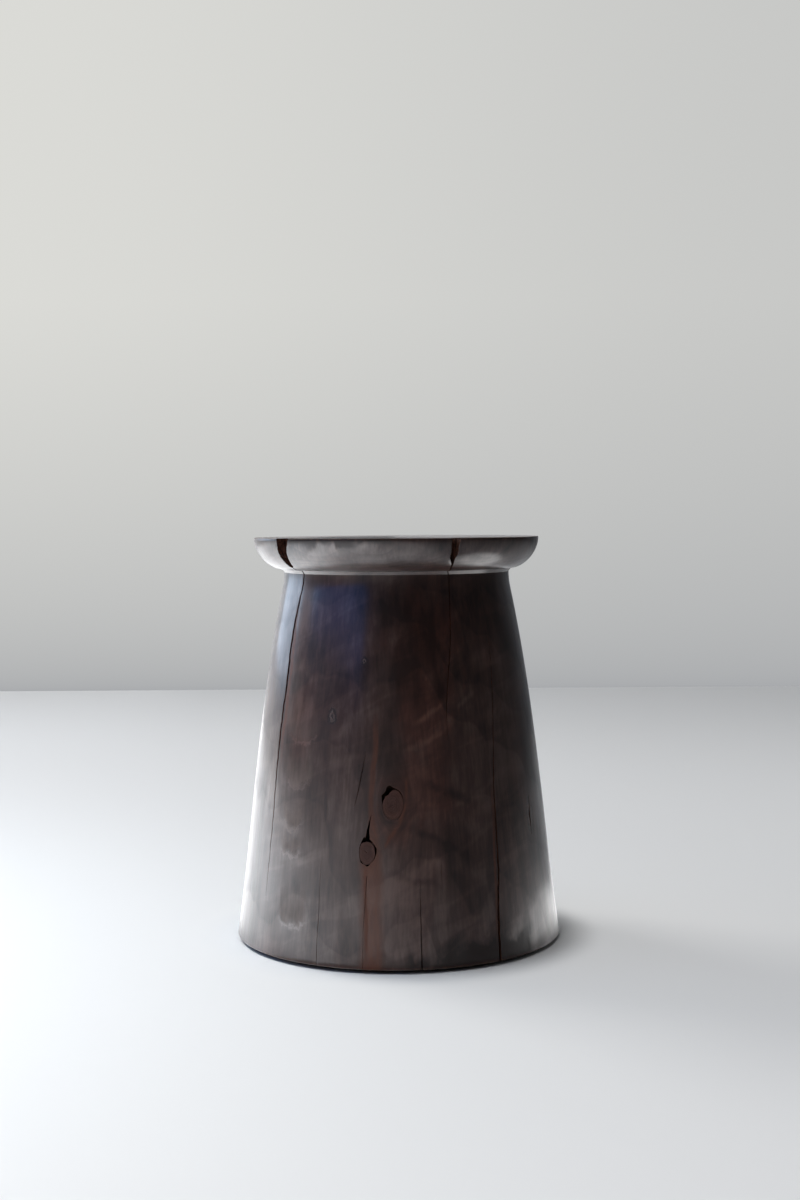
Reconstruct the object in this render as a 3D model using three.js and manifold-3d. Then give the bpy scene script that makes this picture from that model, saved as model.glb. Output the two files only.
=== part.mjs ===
// A stool turned from one log: a flared body, a short coved neck and a thick rounded rim, stained
// nearly black. The wood has opened along its drying checks, and two encased knots sit loose in
// their pockets. Four nylon glides are screwed under the base.
// Millimetres, +Z up, origin on the floor under the middle of the base, front towards -Y.

import * as THREE from 'three';
import { mergeVertices } from 'three/addons/utils/BufferGeometryUtils.js';
import Module from 'manifold-3d';

const wasm = await Module();
wasm.setup();

// Turned body
const woodHeight = 436;
const baseRadius = 178.4;
const footSlope = 0.14; // how fast the side draws in at the foot, per millimetre of height
const neckRadius = 123.9;
const neckSlope = 0.21; // and just under the cove
const coveRadius = 85;
const arrisRadius = 1.5;
const rimRadius = 156.5;
const rimThickness = 34.5;
const rimFullness = 0.48; // handle length of the underside curve, 0.55 for a true quarter round
const rimEdgeEase = 1;
const beadHeight = 3.5; // the narrow bright bevel between the neck and the rim
const beadOverhang = 2.5;
const latheFacets = 96;

// The pith, where the checks lead to, a little off the turning centre
const pith = new THREE.Vector2(9, 10);
const skinOvercut = 8; // how far the cutters reach out past the skin
const quarterDip = 1 - Math.SQRT1_2; // where the middle of a quarter round lies, in radii

// Drying checks: the widest mouth and the deepest reach of each
const leftCheckWidth = 3.6;
const leftCheckDepth = 122;
const leftTearWidth = 21;
const leftTearDepth = 33;
const rightCheckWidth = 2.6;
const rightCheckDepth = 104;
const rightTearWidth = 10;
const rightTearDepth = 26;
const mainCheckWidth = 3.2;
const mainCheckDepth = 62;
const centreFootWidth = 1.4;
const centreFootDepth = 36;
const leftFootWidth = 0.9;
const leftFootDepth = 26;
const knotSpikeWidth = 5;
const knotSpikeDepth = 12;

// Encased knots: a height is above the bottom of the wood
const upperKnotHeight = 166;
const upperKnotWidth = 22;
const upperKnotTall = 31;
const upperKnotDepth = 70;
const lowerKnotHeight = 117.5;
const lowerKnotWidth = 17;
const lowerKnotTall = 25;
const lowerKnotDepth = 60;
const knotTaper = 0.4; // radius at the inner end, as a share of that at the skin
const knotClearance = 0.3;
const barkDepth = 14; // how far in the lost bark left a gap
const knotFacets = 40;

// Glides and their screws
const glideThickness = 4;
const glideRadius = 15;
const glideInset = 38; // from the edge of the base to the middle of a glide
const glideEdgeRadius = 1;
const screwLength = 20;
const screwRadius = 1.75;
const screwHeadRadius = 3.4;
const screwHeadHeight = 2;
const screwHeadSink = 0.7; // how far the head lies above the glide's sole
const screwTipLength = 4;
const crossWidth = 0.9;
const crossDepth = 1.2;
const screwClearance = 0.3;

// Heights that follow from the sizes above
const baseZ = glideThickness;
const topZ = baseZ + woodHeight;
const undersideZ = topZ - rimThickness;
const neckZ = undersideZ - beadHeight;
const coveTurn = Math.atan(neckSlope);
const sideTopZ = neckZ - coveRadius * Math.sin(coveTurn);
const sideTopRadius = neckRadius + coveRadius * (1 - Math.cos(coveTurn));
const beadRadius = neckRadius + beadOverhang;

// The side between foot and cove is one cubic, set by its radius and slope at either end.
function sideRadius(z) {
  const length = sideTopZ - baseZ;
  const t = (z - baseZ) / length;
  return (
    (2 * t ** 3 - 3 * t ** 2 + 1) * baseRadius -
    (t ** 3 - 2 * t ** 2 + t) * length * footSlope +
    (3 * t ** 2 - 2 * t ** 3) * sideTopRadius -
    (t ** 3 - t ** 2) * length * neckSlope
  );
}

const rimCurve = new THREE.CubicBezierCurve(
  new THREE.Vector2(beadRadius, undersideZ),
  new THREE.Vector2(beadRadius + (rimRadius - beadRadius) * rimFullness, undersideZ),
  new THREE.Vector2(rimRadius, topZ - rimEdgeEase - (rimThickness - rimEdgeEase) * rimFullness),
  new THREE.Vector2(rimRadius, topZ - rimEdgeEase),
);

// Half section of the turning, from the middle of the bottom to the middle of the seat
function turnedProfile() {
  const points = [new THREE.Vector2(0, baseZ)];
  const arrisCentre = new THREE.Vector2(baseRadius - arrisRadius, baseZ + arrisRadius);
  for (const step of [0, 1, 2]) {
    const turn = (step / 3) * (Math.PI / 2);
    points.push(new THREE.Vector2(
      arrisCentre.x + arrisRadius * Math.sin(turn),
      arrisCentre.y - arrisRadius * Math.cos(turn),
    ));
  }
  const sideSteps = 13;
  const sideStart = baseZ + arrisRadius;
  for (let step = 0; step <= sideSteps; step += 1) {
    const z = sideStart + ((sideTopZ - sideStart) * step) / sideSteps;
    points.push(new THREE.Vector2(sideRadius(z), z));
  }
  const coveSteps = 3;
  for (let step = 1; step <= coveSteps; step += 1) {
    const turn = coveTurn * (1 - step / coveSteps);
    points.push(new THREE.Vector2(
      neckRadius + coveRadius * (1 - Math.cos(turn)),
      neckZ - coveRadius * Math.sin(turn),
    ));
  }
  points.push(...rimCurve.getPoints(9));
  const easeDip = rimEdgeEase * quarterDip;
  points.push(new THREE.Vector2(rimRadius - easeDip, topZ - easeDip));
  points.push(new THREE.Vector2(rimRadius - rimEdgeEase, topZ));
  points.push(new THREE.Vector2(0, topZ));
  return points;
}

// A lathe turned about Z
function turned(profile, facets) {
  return new THREE.LatheGeometry(profile, facets).rotateX(Math.PI / 2);
}

// Radius of the skin at a height
function skinRadius(z) {
  const height = THREE.MathUtils.clamp(z, baseZ, topZ);
  if (height <= sideTopZ) return sideRadius(height);
  if (height <= neckZ) {
    const rise = neckZ - height;
    return neckRadius + coveRadius - Math.sqrt(coveRadius ** 2 - rise ** 2);
  }
  if (height <= undersideZ) {
    return neckRadius + (beadOverhang * (height - neckZ)) / beadHeight;
  }
  const points = rimCurve.getPoints(40);
  const above = points.findIndex((point) => point.y >= height);
  if (above < 1) return above === 0 ? beadRadius : rimRadius;
  const [low, high] = [points[above - 1], points[above]];
  return THREE.MathUtils.mapLinear(height, low.y, high.y, low.x, high.x);
}

// Solids for the cuts: shared vertices merged, and the collapsed triangles at the poles left out
function toSolid(geometry) {
  const bare = geometry.clone();
  bare.deleteAttribute('normal');
  bare.deleteAttribute('uv');
  const merged = mergeVertices(bare, 1e-4);
  const triVerts = [];
  const { array } = merged.index;
  for (let i = 0; i < array.length; i += 3) {
    const [a, b, c] = [array[i], array[i + 1], array[i + 2]];
    if (a !== b && b !== c && c !== a) triVerts.push(a, b, c);
  }
  return new wasm.Manifold(new wasm.Mesh({
    numProp: 3,
    vertProperties: new Float32Array(merged.attributes.position.array),
    triVerts: new Uint32Array(triVerts),
  }));
}

function toGeometry(solid) {
  const { vertProperties, triVerts } = solid.getMesh();
  const geometry = new THREE.BufferGeometry();
  geometry.setAttribute('position', new THREE.BufferAttribute(vertProperties, 3));
  geometry.setIndex(new THREE.BufferAttribute(triVerts, 1));
  const flat = geometry.toNonIndexed();
  flat.computeVertexNormals();
  return flat;
}

// Heights as shares: up the side from the foot to the neck, and up the rim from below to the seat
const onSide = (share) => baseZ + (neckZ - baseZ) * share;
const onRim = (share) => undersideZ + rimThickness * share;
const belowBase = baseZ - 2;
const aboveSeat = topZ + 2;

// Every check from its lower end to its upper end, as stations of height, angle from the front
// towards the right, and shares of its width at the skin and of its depth towards the pith
const checks = {
  leftLong: {
    width: leftCheckWidth,
    depth: leftCheckDepth,
    stations: [
      [onSide(0.15), -55.3, 0.06, 0.03],
      [onSide(0.365), -55.1, 0.33, 0.18],
      [onSide(0.585), -55.5, 0.44, 0.28],
      [onSide(0.86), -55, 0.55, 0.38],
      [onSide(0.995), -52.3, 0.5, 0.46],
      [onRim(0.08), -52.2, 0.6, 0.54],
      [onRim(0.55), -51.2, 0.83, 0.79],
      [aboveSeat, -50, 1, 1],
    ],
  },
  leftTear: {
    width: leftTearWidth,
    depth: leftTearDepth,
    stations: [
      [onRim(0.1), -52.6, 0.02, 0.06],
      [onRim(0.14), -52.2, 0.42, 0.36],
      [onRim(0.27), -51.7, 0.5, 0.48],
      [onRim(0.39), -51.8, 0.58, 0.6],
      [onRim(0.54), -51.4, 0.69, 0.74],
      [onRim(0.85), -50.2, 0.87, 0.9],
      [aboveSeat, -49.6, 1, 1],
    ],
  },
  rightFine: {
    width: rightCheckWidth,
    depth: rightCheckDepth,
    stations: [
      [onSide(0.57), 20, 0.08, 0.03],
      [onSide(0.745), 22, 0.3, 0.15],
      [onSide(0.91), 25.2, 0.38, 0.27],
      [onSide(0.995), 26.3, 0.42, 0.35],
      [onRim(0.1), 23.9, 0.62, 0.44],
      [onRim(0.55), 23.1, 0.77, 0.73],
      [aboveSeat, 23.4, 1, 1],
    ],
  },
  rightTear: {
    width: rightTearWidth,
    depth: rightTearDepth,
    stations: [
      [onRim(0.07), 23.6, 0.06, 0.08],
      [onRim(0.27), 23.1, 0.26, 0.35],
      [onRim(0.4), 22.8, 0.52, 0.5],
      [onRim(0.56), 22.9, 0.75, 0.7],
      [onRim(0.72), 23, 0.88, 0.85],
      [aboveSeat, 23.4, 1, 1],
    ],
  },
  rightMain: {
    width: mainCheckWidth,
    depth: mainCheckDepth,
    stations: [
      [belowBase, 35.9, 1, 1],
      [onSide(0.136), 37.1, 0.81, 0.84],
      [onSide(0.325), 39, 0.6, 0.65],
      [onSide(0.45), 39.4, 0.47, 0.48],
      [onSide(0.577), 41.6, 0.34, 0.32],
      [onSide(0.77), 45, 0.22, 0.16],
      [onSide(0.84), 45.6, 0.06, 0.05],
    ],
  },
  centreFoot: {
    width: centreFootWidth,
    depth: centreFootDepth,
    stations: [
      [belowBase, 7.5, 1, 1],
      [onSide(0.12), 7.5, 0.7, 0.55],
      [onSide(0.23), 7.6, 0.14, 0.08],
    ],
  },
  leftFoot: {
    width: leftFootWidth,
    depth: leftFootDepth,
    stations: [
      [belowBase, -28.5, 1, 1],
      [onSide(0.14), -28.7, 0.78, 0.54],
      [onSide(0.265), -28.7, 0.22, 0.12],
    ],
  },
  aboveLowerKnot: {
    width: knotSpikeWidth,
    depth: knotSpikeDepth,
    stations: [
      [onSide(0.315), -11.3, 1, 1],
      [onSide(0.335), -11.1, 0.8, 0.9],
      [onSide(0.352), -11, 0.45, 0.75],
      [onSide(0.385), -10, 0.04, 0.15],
    ],
  },
};

// A check is a wedge lofted through its stations: two corners beyond the skin, and a tip that
// lies its depth in from the mouth. Both walls are split along the same diagonal, so that they
// never cross where the wedge is thin.
function wedge(check) {
  const positions = [];
  for (const [z, angle, widthShare, depthShare] of check.stations) {
    const width = check.width * widthShare;
    const depth = check.depth * depthShare;
    const turn = THREE.MathUtils.degToRad(angle);
    const mouth = new THREE.Vector2(Math.sin(turn), -Math.cos(turn)).multiplyScalar(skinRadius(z));
    const inward = pith.clone().sub(mouth).normalize();
    const across = new THREE.Vector2(-inward.y, inward.x);
    const tip = mouth.clone().addScaledVector(inward, depth);
    const spread = 1 + skinOvercut / depth;
    for (const side of [0.5, -0.5]) {
      const corner = mouth.clone().addScaledVector(across, width * side);
      corner.sub(tip).multiplyScalar(spread).add(tip);
      positions.push(corner.x, corner.y, z);
    }
    positions.push(tip.x, tip.y, z);
  }
  const index = [0, 2, 1];
  const last = 3 * (check.stations.length - 1);
  for (let left = 0; left < last; left += 3) {
    const [right, tip, leftNext, rightNext, tipNext] = [1, 2, 3, 4, 5].map((step) => left + step);
    index.push(left, right, rightNext, left, rightNext, leftNext);
    index.push(left, leftNext, tipNext, left, tipNext, tip);
    index.push(right, tip, tipNext, right, tipNext, rightNext);
  }
  index.push(last, last + 1, last + 2);
  const geometry = new THREE.BufferGeometry();
  geometry.setAttribute('position', new THREE.Float32BufferAttribute(positions, 3));
  geometry.setIndex(index);
  return geometry;
}

// Both knots, with the gaps that the lost bark left round them and the places where the branch
// itself is worn back, each as [direction, share of the knot's width, spread]. A direction is
// in degrees anticlockwise from the right, seen from outside.
const knots = {
  upper_knot: {
    angle: -1.9,
    height: upperKnotHeight,
    width: upperKnotWidth,
    tall: upperKnotTall,
    depth: upperKnotDepth,
    rise: 18,
    gaps: [[104, 0.21, 14], [140, 0.09, 20], [58, 0.03, 20]],
    losses: [[110, 0.16, 22], [150, 0.07, 18]],
  },
  lower_knot: {
    angle: -11.2,
    height: lowerKnotHeight,
    width: lowerKnotWidth,
    tall: lowerKnotTall,
    depth: lowerKnotDepth,
    rise: 15,
    gaps: [[105, 0.16, 22], [20, 0.12, 38], [272, 0.09, 9], [239, 0.07, 9]],
    losses: [[102, 0.22, 25], [30, 0.09, 32]],
  },
};

// Sum of a knot's gaps or losses in one direction, fading out with the depth of the bark
function around(knot, kind, direction, inward) {
  let total = 0;
  for (const [middle, share, spread] of knot[kind]) {
    const away = THREE.MathUtils.euclideanModulo(direction - middle + 180, 360) - 180;
    total += knot.width * share * Math.exp(-((away / spread) ** 2));
  }
  return total * THREE.MathUtils.clamp(1 - inward / barkDepth, 0, 1);
}

// A branch stub: an oval cone that widens outwards along a rising line, from its depth to beyond
// the skin. margin(direction, inward) is added to its outline.
function branch(knot, depth, margin) {
  const length = skinOvercut + depth;
  const cone = new THREE.CylinderGeometry(1, 1, length, knotFacets, 10);
  cone.translate(0, skinOvercut - length / 2, 0);
  const rise = THREE.MathUtils.degToRad(knot.rise);
  const halfWidth = knot.width / 2;
  const halfTall = (knot.tall * Math.cos(rise)) / 2;
  const point = new THREE.Vector3();
  const { position } = cone.attributes;
  for (let i = 0; i < position.count; i += 1) {
    point.fromBufferAttribute(position, i);
    const inward = -point.y;
    const share = Math.min(1, Math.hypot(point.x, point.z));
    const turn = Math.atan2(-point.z, point.x);
    const narrowing = 1 - ((1 - knotTaper) * inward) / knot.depth;
    const oval = narrowing / Math.hypot(Math.cos(turn) / halfWidth, Math.sin(turn) / halfTall);
    const reach = share * (oval + margin(THREE.MathUtils.radToDeg(turn), inward));
    position.setXYZ(i, reach * Math.cos(turn), point.y, -reach * Math.sin(turn));
  }
  const turn = THREE.MathUtils.degToRad(knot.angle);
  const outward = new THREE.Vector3(Math.sin(turn), -Math.cos(turn), 0);
  const sideways = new THREE.Vector3(Math.cos(turn), Math.sin(turn), 0);
  const along = outward.clone().multiplyScalar(Math.cos(rise));
  along.z = Math.sin(rise);
  const down = new THREE.Vector3().crossVectors(sideways, along);
  const z = baseZ + knot.height;
  const middle = outward.multiplyScalar(skinRadius(z)).setZ(z);
  return cone.applyMatrix4(new THREE.Matrix4().makeBasis(sideways, along, down).setPosition(middle));
}

const knotCore = (knot) => branch(
  knot,
  knot.depth,
  (direction, inward) => -around(knot, 'losses', direction, inward),
);
const knotPocket = (knot) => branch(
  knot,
  knot.depth + knotClearance,
  (direction, inward) => knotClearance + around(knot, 'gaps', direction, inward),
);

// Middles of the four glides, one in each quarter
const glidePitchRadius = baseRadius - glideInset;
const glidePlaces = {
  front_left: -45,
  front_right: 45,
  back_right: 135,
  back_left: 225,
};

function glidePlace(angle) {
  const turn = THREE.MathUtils.degToRad(angle);
  const x = glidePitchRadius * Math.sin(turn);
  const y = -glidePitchRadius * Math.cos(turn);
  return new THREE.Vector3(x, y, 0);
}

// Blind pilot hole for one screw, with a pointed end
const screwTopZ = screwHeadSink + screwLength;
function pilotHole() {
  const radius = screwRadius + screwClearance;
  return turned([
    new THREE.Vector2(0, baseZ - 1),
    new THREE.Vector2(radius, baseZ - 1),
    new THREE.Vector2(radius, screwTopZ - screwTipLength),
    new THREE.Vector2(screwClearance, screwTopZ + screwClearance),
    new THREE.Vector2(0, screwTopZ + screwClearance),
  ], 16);
}

// A round pad with a rounded sole edge and a countersunk hole
function glide() {
  const hole = screwRadius + screwClearance;
  const sinkTop = screwHeadSink + screwHeadHeight;
  const mouthSpread = ((screwHeadRadius - screwRadius) * screwHeadSink) / screwHeadHeight;
  const edgeDip = glideEdgeRadius * quarterDip;
  return turned([
    new THREE.Vector2(hole, sinkTop),
    new THREE.Vector2(screwHeadRadius + screwClearance + mouthSpread, 0),
    new THREE.Vector2(glideRadius - glideEdgeRadius, 0),
    new THREE.Vector2(glideRadius - edgeDip, edgeDip),
    new THREE.Vector2(glideRadius, glideEdgeRadius),
    new THREE.Vector2(glideRadius, glideThickness),
    new THREE.Vector2(hole, glideThickness),
    new THREE.Vector2(hole, sinkTop),
  ], 32);
}

// A countersunk wood screw, point up, with a cross recess in its head
function screw() {
  const blank = toSolid(turned([
    new THREE.Vector2(0, screwHeadSink),
    new THREE.Vector2(screwHeadRadius, screwHeadSink),
    new THREE.Vector2(screwRadius, screwHeadSink + screwHeadHeight),
    new THREE.Vector2(screwRadius, screwTopZ - screwTipLength),
    new THREE.Vector2(screwClearance, screwTopZ - screwClearance),
    new THREE.Vector2(0, screwTopZ),
  ], 16));
  const arm = screwHeadRadius;
  const slotAlongX = new THREE.BoxGeometry(arm, crossWidth, 2 * crossDepth);
  const slotAlongY = new THREE.BoxGeometry(crossWidth, arm, 2 * crossDepth);
  const recess = toSolid(slotAlongX).add(toSolid(slotAlongY)).translate([0, 0, screwHeadSink]);
  return toGeometry(blank.subtract(recess));
}

// Materials
const stainedWood = new THREE.MeshStandardMaterial({ color: 0x2a1e18, roughness: 0.38 });
const knotWood = new THREE.MeshStandardMaterial({ color: 0x3a2a20, roughness: 0.5 });
const nylon = new THREE.MeshStandardMaterial({ color: 0x1d1a18, roughness: 0.6 });
const zinc = new THREE.MeshStandardMaterial({ color: 0xa9abae, roughness: 0.35, metalness: 1 });

const stool = new THREE.Group();

function addPiece(name, geometry, material, parent = stool) {
  const mesh = new THREE.Mesh(geometry, material);
  mesh.name = name;
  parent.add(mesh);
}

// Body and knots
const blank = toSolid(turned(turnedProfile(), latheFacets));
let body = blank;
for (const check of Object.values(checks)) {
  body = body.subtract(toSolid(wedge(check)));
}
for (const [name, knot] of Object.entries(knots)) {
  body = body.subtract(toSolid(knotPocket(knot)));
  addPiece(name, toGeometry(toSolid(knotCore(knot)).intersect(blank)), knotWood);
}
for (const angle of Object.values(glidePlaces)) {
  body = body.subtract(toSolid(pilotHole()).translate(glidePlace(angle).toArray()));
}
addPiece('stool_body', toGeometry(body), stainedWood);

// Glides
for (const [corner, angle] of Object.entries(glidePlaces)) {
  const seat = new THREE.Group();
  seat.position.copy(glidePlace(angle));
  addPiece(`glide_${corner}`, glide(), nylon, seat);
  addPiece(`glide_screw_${corner}`, screw(), zinc, seat);
  stool.add(seat);
}

export default stool;
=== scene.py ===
import math

import bmesh
import bpy
from mathutils import Matrix, Vector, noise


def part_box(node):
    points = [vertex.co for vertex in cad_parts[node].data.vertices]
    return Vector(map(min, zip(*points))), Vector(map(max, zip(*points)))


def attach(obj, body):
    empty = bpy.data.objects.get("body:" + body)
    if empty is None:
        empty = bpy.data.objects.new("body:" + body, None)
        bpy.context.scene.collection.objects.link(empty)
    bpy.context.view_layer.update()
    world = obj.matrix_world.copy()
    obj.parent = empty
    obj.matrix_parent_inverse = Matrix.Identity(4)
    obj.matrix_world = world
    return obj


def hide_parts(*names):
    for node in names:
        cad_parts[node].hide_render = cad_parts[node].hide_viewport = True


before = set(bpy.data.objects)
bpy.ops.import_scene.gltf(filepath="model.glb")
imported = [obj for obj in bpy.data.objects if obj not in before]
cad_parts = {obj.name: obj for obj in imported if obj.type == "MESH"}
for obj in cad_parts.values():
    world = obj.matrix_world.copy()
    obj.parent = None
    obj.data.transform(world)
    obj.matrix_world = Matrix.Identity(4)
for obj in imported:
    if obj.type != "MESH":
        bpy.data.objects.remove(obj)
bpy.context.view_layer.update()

woodLow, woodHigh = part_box("stool_body")
mm = 0.001
print("frame loaded, nodes:", len(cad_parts))

# camera: a 50 mm lens on a 36 mm frame, nearly level with the seat
cameraSettings = {
    "lens": 50,
    "sensor": 36,
    "farEnd": 50,
    "distance": 1.84,
    "height": 0.462,
    "pitchDown": 2.86,
    "roll": 0.38,
    "yaw": 0.117,
}


def makeCamera(settings):
    data = bpy.data.cameras.new("camera")
    data.lens = settings["lens"]
    data.sensor_width = settings["sensor"]
    data.clip_end = settings["farEnd"]
    camera = bpy.data.objects.new("camera", data)
    bpy.context.scene.collection.objects.link(camera)
    turn = Matrix.Rotation(math.radians(-settings["yaw"]), 4, "Z")
    tip = Matrix.Rotation(math.radians(90 - settings["pitchDown"]), 4, "X")
    lean = Matrix.Rotation(math.radians(-settings["roll"]), 4, "Z")
    place = Matrix.Translation((0, -settings["distance"], settings["height"]))
    camera.matrix_world = place @ turn @ tip @ lean
    bpy.context.scene.camera = camera


makeCamera(cameraSettings)
print("camera set")


# an operator of Python that adds a Math node
def operator(operation, turned=False):
    def apply(self, other):
        first, second = (other, self) if turned else (self, other)
        return self.maths(operation, first, second)
    return apply


# one wire of a material, with Python's own operators on it
class Wire:
    __add__ = __radd__ = operator("ADD")
    __sub__ = operator("SUBTRACT")
    __rsub__ = operator("SUBTRACT", turned=True)
    __mul__ = __rmul__ = operator("MULTIPLY")
    __truediv__ = operator("DIVIDE")
    __rtruediv__ = operator("DIVIDE", turned=True)
    __pow__ = operator("POWER")

    def __init__(self, finish, socket):
        self.finish = finish
        self.socket = socket

    def maths(self, operation, first, *rest):
        inputs = dict(enumerate((first,) + rest))
        return self.finish.node("ShaderNodeMath", {"operation": operation}, inputs)

    def __neg__(self):
        return self.maths("MULTIPLY", self, -1)

    def __abs__(self):
        return self.maths("ABSOLUTE", self)

    def at(self, operation, *others):
        return self.maths(operation, self, *others)

    # a soft step: what goes from low to high becomes what goes from toLow to toHigh
    def spread(self, low, high, toLow=0.0, toHigh=1.0):
        settings = {"interpolation_type": "SMOOTHSTEP"}
        inputs = {0: self, 1: low, 2: high, 3: toLow, 4: toHigh}
        return self.finish.node("ShaderNodeMapRange", settings, inputs)


# a new material, or the world, and the tree that it is wired in
class Finish:
    def __init__(self, owner, outputKind="ShaderNodeOutputMaterial"):
        self.owner = owner
        self.owner.use_nodes = True
        self.tree = self.owner.node_tree
        self.tree.nodes.clear()
        self.output = self.tree.nodes.new(outputKind)

    def node(self, kind, settings=None, inputs=None, output=0):
        made = self.tree.nodes.new(kind)
        for key, value in (settings or {}).items():
            if key == "stops":
                self.setStops(made.color_ramp, value)
            else:
                setattr(made, key, value)
        for key, value in (inputs or {}).items():
            socket = made.inputs[key]
            if isinstance(value, Wire):
                self.tree.links.new(value.socket, socket)
            elif socket.type == "RGBA":
                socket.default_value = (*value, 1)
            else:
                socket.default_value = value
        return Wire(self, made.outputs[output])

    def setStops(self, ramp, stops):
        while len(ramp.elements) < len(stops):
            ramp.elements.new(0.5)
        for element, (position, colour) in zip(ramp.elements, stops):
            element.position = position
            element.color = (*colour, 1)

    def surface(self, wire):
        self.tree.links.new(wire.socket, self.output.inputs["Surface"])
        return self.owner

    # object coordinates in millimetres
    def place(self):
        coordinates = self.node("ShaderNodeTexCoord", output="Object")
        inputs = {0: coordinates, "Scale": 1 / mm}
        return self.node("ShaderNodeVectorMath", {"operation": "SCALE"}, inputs)

    def split(self, vector):
        first = self.node("ShaderNodeSeparateXYZ", None, {0: vector})
        sockets = first.socket.node.outputs
        return [Wire(self, sockets[i]) for i in range(3)]

    def joined(self, x, y, z):
        return self.node("ShaderNodeCombineXYZ", None, {0: x, 1: y, 2: z})

    # soft noise about 0.5, its scale in spots to the millimetre
    def cloud(self, vector, scale, detail=3, roughness=0.55, distortion=0.0):
        inputs = {"Vector": vector, "Scale": scale, "Detail": detail, "Roughness": roughness,
                  "Distortion": distortion}
        return self.node("ShaderNodeTexNoise", None, inputs)

    def mixed(self, factor, first, second, blend="MIX"):
        settings = {"data_type": "RGBA", "blend_type": blend}
        return self.node("ShaderNodeMix", settings, {0: factor, 6: first, 7: second}, output=2)

    def bumped(self, height, distance, strength=1.0, normal=None):
        inputs = {"Height": height, "Distance": distance, "Strength": strength}
        if normal:
            inputs["Normal"] = normal
        return self.node("ShaderNodeBump", None, inputs)

    # a ramp of colours, each with its position
    def ramp(self, value, *stops):
        return self.node("ShaderNodeValToRGB", {"stops": stops}, {0: value})

    def principled(self, inputs):
        return self.surface(self.node("ShaderNodeBsdfPrincipled", None, inputs))


def newFinish(name):
    return Finish(bpy.data.materials.new(name))


# turned body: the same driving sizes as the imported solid, in metres, and how finely it is cut up
turning = {
    "baseRadius": 0.1784,
    "footSlope": 0.14,
    "neckRadius": 0.1239,
    "neckSlope": 0.21,
    "coveRadius": 0.085,
    "arris": 0.0015,
    "rimRadius": 0.1565,
    "rimThickness": 0.0345,
    "rimFullness": 0.48,
    "rimEase": 0.001,
    "beadHeight": 0.0035,
    "beadOverhang": 0.0025,
    "columns": 288,
    "rowHeight": 0.0035,
    "arrisRows": 5,
    "coveRows": 5,
    "rimRows": 22,
    "easeRows": 4,
    "smoothBelow": 32,
    "waviness": 0.00022,
    "wavesAcross": 14,
    "wavesUp": 7,
    "wavyFrom": 0.1,
    "flatEnds": 0.0005,
}

baseZ = woodLow.z
topZ = woodHigh.z
undersideZ = topZ - turning["rimThickness"]
neckZ = undersideZ - turning["beadHeight"]
coveTurn = math.atan(turning["neckSlope"])
sideTopZ = neckZ - turning["coveRadius"] * math.sin(coveTurn)
sideTopRadius = turning["neckRadius"] + turning["coveRadius"] * (1 - math.cos(coveTurn))
beadRadius = turning["neckRadius"] + turning["beadOverhang"]


def sideRadius(z):
    length = sideTopZ - baseZ
    t = (z - baseZ) / length
    radius = (2 * t ** 3 - 3 * t ** 2 + 1) * turning["baseRadius"]
    radius -= (t ** 3 - 2 * t ** 2 + t) * length * turning["footSlope"]
    radius += (3 * t ** 2 - 2 * t ** 3) * sideTopRadius
    radius -= (t ** 3 - t ** 2) * length * turning["neckSlope"]
    return radius


def rimCurve(count):
    easeZ = topZ - turning["rimEase"]
    reach = turning["rimFullness"]
    ends = [
        Vector((beadRadius, undersideZ)),
        Vector((beadRadius + (turning["rimRadius"] - beadRadius) * reach, undersideZ)),
        Vector((turning["rimRadius"], easeZ - (easeZ - undersideZ) * reach)),
        Vector((turning["rimRadius"], easeZ)),
    ]
    points = []
    for i in range(count + 1):
        t = i / count
        weights = [(1 - t) ** 3, 3 * t * (1 - t) ** 2, 3 * t ** 2 * (1 - t), t ** 3]
        points.append(sum((w * p for w, p in zip(weights, ends)), Vector((0, 0))))
    return points


rimPoints = rimCurve(40)   # fine enough to measure the rim by


def skinRadius(z):
    z = min(max(z, baseZ), topZ)
    if z <= sideTopZ:
        return sideRadius(z)
    if z <= neckZ:
        hollow = math.sqrt(turning["coveRadius"] ** 2 - (neckZ - z) ** 2)
        return turning["neckRadius"] + turning["coveRadius"] - hollow
    if z <= undersideZ:
        share = (z - neckZ) / turning["beadHeight"]
        return turning["neckRadius"] + turning["beadOverhang"] * share
    for low, high in zip(rimPoints, rimPoints[1:]):
        if z <= high.y:
            return low.x + (high.x - low.x) * (z - low.y) / (high.y - low.y)
    return turning["rimRadius"]


def turnedProfile():
    arris = turning["arris"]
    points = [Vector((0, baseZ))]
    for i in range(turning["arrisRows"]):
        turn = math.pi / 2 * i / turning["arrisRows"]
        points.append(Vector((
            turning["baseRadius"] - arris + arris * math.sin(turn),
            baseZ + arris - arris * math.cos(turn),
        )))
    sideRows = round((sideTopZ - baseZ - arris) / turning["rowHeight"])
    for i in range(sideRows + 1):
        z = baseZ + arris + (sideTopZ - baseZ - arris) * i / sideRows
        points.append(Vector((sideRadius(z), z)))
    for i in range(1, turning["coveRows"] + 1):
        z = sideTopZ + (neckZ - sideTopZ) * i / turning["coveRows"]
        points.append(Vector((skinRadius(z), z)))
    points.extend(rimCurve(turning["rimRows"]))
    ease = turning["rimEase"]
    for i in range(1, turning["easeRows"] + 1):
        turn = math.pi / 2 * i / turning["easeRows"]
        points.append(Vector((
            turning["rimRadius"] - ease + ease * math.cos(turn),
            topZ - ease + ease * math.sin(turn),
        )))
    points.append(Vector((0, topZ)))
    return points


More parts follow.
